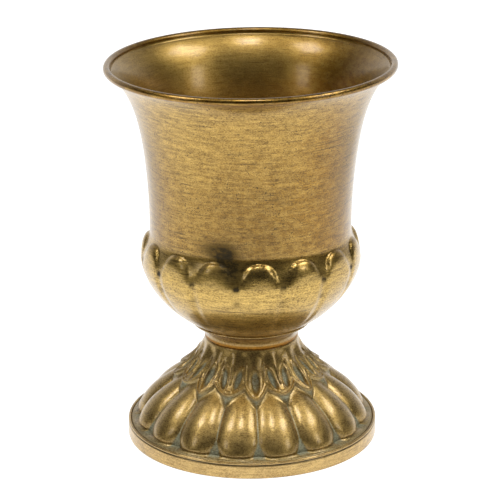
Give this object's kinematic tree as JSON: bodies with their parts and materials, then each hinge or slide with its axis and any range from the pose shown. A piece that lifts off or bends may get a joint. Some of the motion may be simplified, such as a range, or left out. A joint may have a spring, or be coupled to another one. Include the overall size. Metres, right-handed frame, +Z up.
{
  "type": "ciborium vessel",
  "caption": "Goblet-shaped metal vessel: flared cup with a rolled rim and lobed bowl on a domed foot with gadroons and a leaf border.",
  "frame": {"origin": "centre of the hoop's underside, on the surface that the vessel stands on", "axes": "+Z up along the cup's axis; -Y is the front, +X is to its right"},
  "size_m": [0.1, 0.1, 0.135],
  "materials": {
    "cup_gilt": "antique gold, brushed round the cup, with dark worn specks",
    "foot_gilt": "antique gold with grey patina in the recesses",
    "ring_gilt": "dark antique gold, satin",
    "hoop_gilt": "antique gold, mottled",
    "fixing_steel": "plain zinc-plated steel"
  },
  "bodies": {
    "root": {"cup_shell": "cup_gilt", "rim_wire": "fixing_steel", "flanged_stud": "fixing_steel", "neck_ring": "ring_gilt", "foot_shell": "foot_gilt", "foot_hoop": "hoop_gilt", "clamp_plate": "fixing_steel", "flat_washer": "fixing_steel", "lock_washer": "fixing_steel", "hex_nut": "fixing_steel"}
  },
  "joints": []
}
